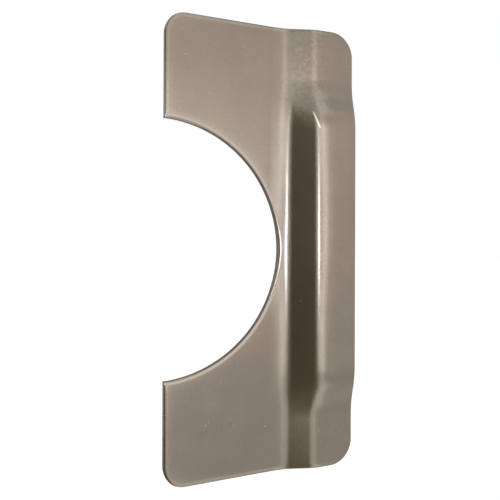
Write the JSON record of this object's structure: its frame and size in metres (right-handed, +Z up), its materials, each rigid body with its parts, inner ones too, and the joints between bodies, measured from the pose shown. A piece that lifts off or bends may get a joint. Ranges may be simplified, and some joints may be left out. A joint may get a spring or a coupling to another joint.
{
  "type": "latch protector plate",
  "caption": "Pressed steel plate that shields a door latch, with a half-round cut-out, a joggled jamb flange with a raised pad, and welded studs behind.",
  "frame": {"origin": "midway between the two studs, on the flat face of the sheet that lies against the door", "axes": "+X from the door towards the frame as seen from outside, +Y into the door along the studs, +Z up along the plate"},
  "size_m": [0.0905, 0.0364, 0.2032],
  "materials": {
    "coated_steel": "satin warm grey metallic coat with a slight orange peel",
    "stud_steel": "zinc plated, semi-bright"
  },
  "bodies": {
    "root": {"plate": "coated_steel", "upper_stud": "stud_steel", "lower_stud": "stud_steel"}
  },
  "joints": []
}
